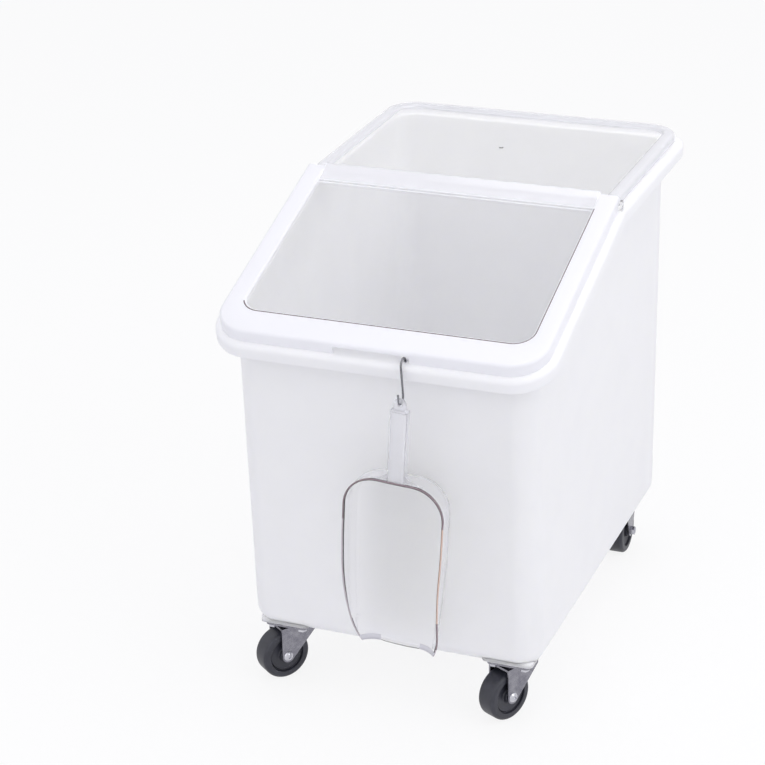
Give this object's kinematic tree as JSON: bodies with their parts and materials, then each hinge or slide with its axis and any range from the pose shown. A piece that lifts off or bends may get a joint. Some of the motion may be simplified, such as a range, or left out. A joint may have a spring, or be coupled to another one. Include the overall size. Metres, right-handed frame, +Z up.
{
  "type": "rolling flour bin",
  "caption": "Slant-topped white plastic flour bin on casters, with a clear fixed rear cover, a clear front lid that tips and slides back, and a clear scoop on a wire hook.",
  "frame": {"origin": "middle of the footprint box on the floor, with the scoop's rim as the front of the box and the rim as its back", "axes": "+X to the bin's right seen from the front, +Y to the back, +Z up"},
  "size_m": [0.5, 0.7702, 0.7141],
  "materials": {
    "white_polyethylene": "satin moulded white polyethylene",
    "clear_polycarbonate": "clear glossy moulded polycarbonate",
    "clear_scoop": "clear glossy moulded polycarbonate",
    "steel_wire": "bright stainless wire",
    "brass_insert": "turned brass",
    "zinc_steel": "bright zinc-plated pressed steel",
    "bearing_steel": "polished ball",
    "wheel_grey": "smooth dark grey moulded tread",
    "bush_nylon": "moulded nylon"
  },
  "bodies": {
    "bin": {"bin_body": "white_polyethylene", "rear_cover": "clear_polycarbonate", "caster_inserts": "brass_insert", "caster_bolts": "zinc_steel", "plate_fl": "zinc_steel", "plate_fr": "zinc_steel", "king_pin_fl": "zinc_steel", "king_pin_fr": "zinc_steel", "fork_rl": "zinc_steel", "fork_rr": "zinc_steel", "axle_rl": "zinc_steel", "axle_rr": "zinc_steel", "axle_nut_rl": "zinc_steel", "axle_nut_rr": "zinc_steel"},
    "lid_guides": {"lid_guide_left": "clear_polycarbonate", "lid_guide_right": "clear_polycarbonate"},
    "front_lid": {"front_lid": "clear_polycarbonate", "lid_runner_left": "clear_polycarbonate", "lid_runner_right": "clear_polycarbonate"},
    "hook": {"s_hook": "steel_wire"},
    "scoop": {"scoop": "clear_scoop"},
    "swivel_fl": {"fork_fl": "zinc_steel", "balls_fl": "bearing_steel", "axle_fl": "zinc_steel", "axle_nut_fl": "zinc_steel"},
    "swivel_fr": {"fork_fr": "zinc_steel", "balls_fr": "bearing_steel", "axle_fr": "zinc_steel", "axle_nut_fr": "zinc_steel"},
    "wheel_fl": {"wheel_fl": "wheel_grey", "bush_fl": "bush_nylon"},
    "wheel_fr": {"wheel_fr": "wheel_grey", "bush_fr": "bush_nylon"},
    "wheel_rl": {"wheel_rl": "wheel_grey", "bush_rl": "bush_nylon"},
    "wheel_rr": {"wheel_rr": "wheel_grey", "bush_rr": "bush_nylon"}
  },
  "joints": [
    {"name": "lid_tilt", "type": "hinge", "parent": "bin", "child": "lid_guides", "pos_m": [0, 0.01149, 0.696], "axis": [-1, 0, 0], "range_deg": [0, 18]},
    {"name": "lid_slide", "type": "slide", "parent": "lid_guides", "child": "front_lid", "axis": [0, 0.9511, 0.309], "range_m": [0, 0.32]},
    {"name": "hook_swing", "type": "hinge", "parent": "bin", "child": "hook", "pos_m": [0.049, -0.35612, 0.57235], "axis": [-1, 0, 0], "range_deg": [0, 20]},
    {"name": "scoop_swing", "type": "hinge", "parent": "hook", "child": "scoop", "pos_m": [0.049, -0.37412, 0.53135], "axis": [-1, 0, 0], "range_deg": [0, 25]},
    {"name": "swivel_turn_fl", "type": "hinge", "parent": "bin", "child": "swivel_fl", "pos_m": [-0.172, -0.24188, 0.08], "axis": [0, 0, 1], "continuous": true},
    {"name": "swivel_turn_fr", "type": "hinge", "parent": "bin", "child": "swivel_fr", "pos_m": [0.172, -0.24188, 0.08], "axis": [0, 0, 1], "continuous": true},
    {"name": "wheel_spin_fl", "type": "hinge", "parent": "swivel_fl", "child": "wheel_fl", "pos_m": [-0.18924, -0.26395, 0.038], "axis": [0.788, -0.6157, 0], "continuous": true},
    {"name": "wheel_spin_fr", "type": "hinge", "parent": "swivel_fr", "child": "wheel_fr", "pos_m": [0.15929, -0.26683, 0.038], "axis": [0.891, -0.454, 0], "continuous": true},
    {"name": "wheel_spin_rl", "type": "hinge", "parent": "bin", "child": "wheel_rl", "pos_m": [-0.172, 0.28512, 0.038], "axis": [1, 0, 0], "continuous": true},
    {"name": "wheel_spin_rr", "type": "hinge", "parent": "bin", "child": "wheel_rr", "pos_m": [0.172, 0.28512, 0.038], "axis": [1, 0, 0], "continuous": true}
  ]
}
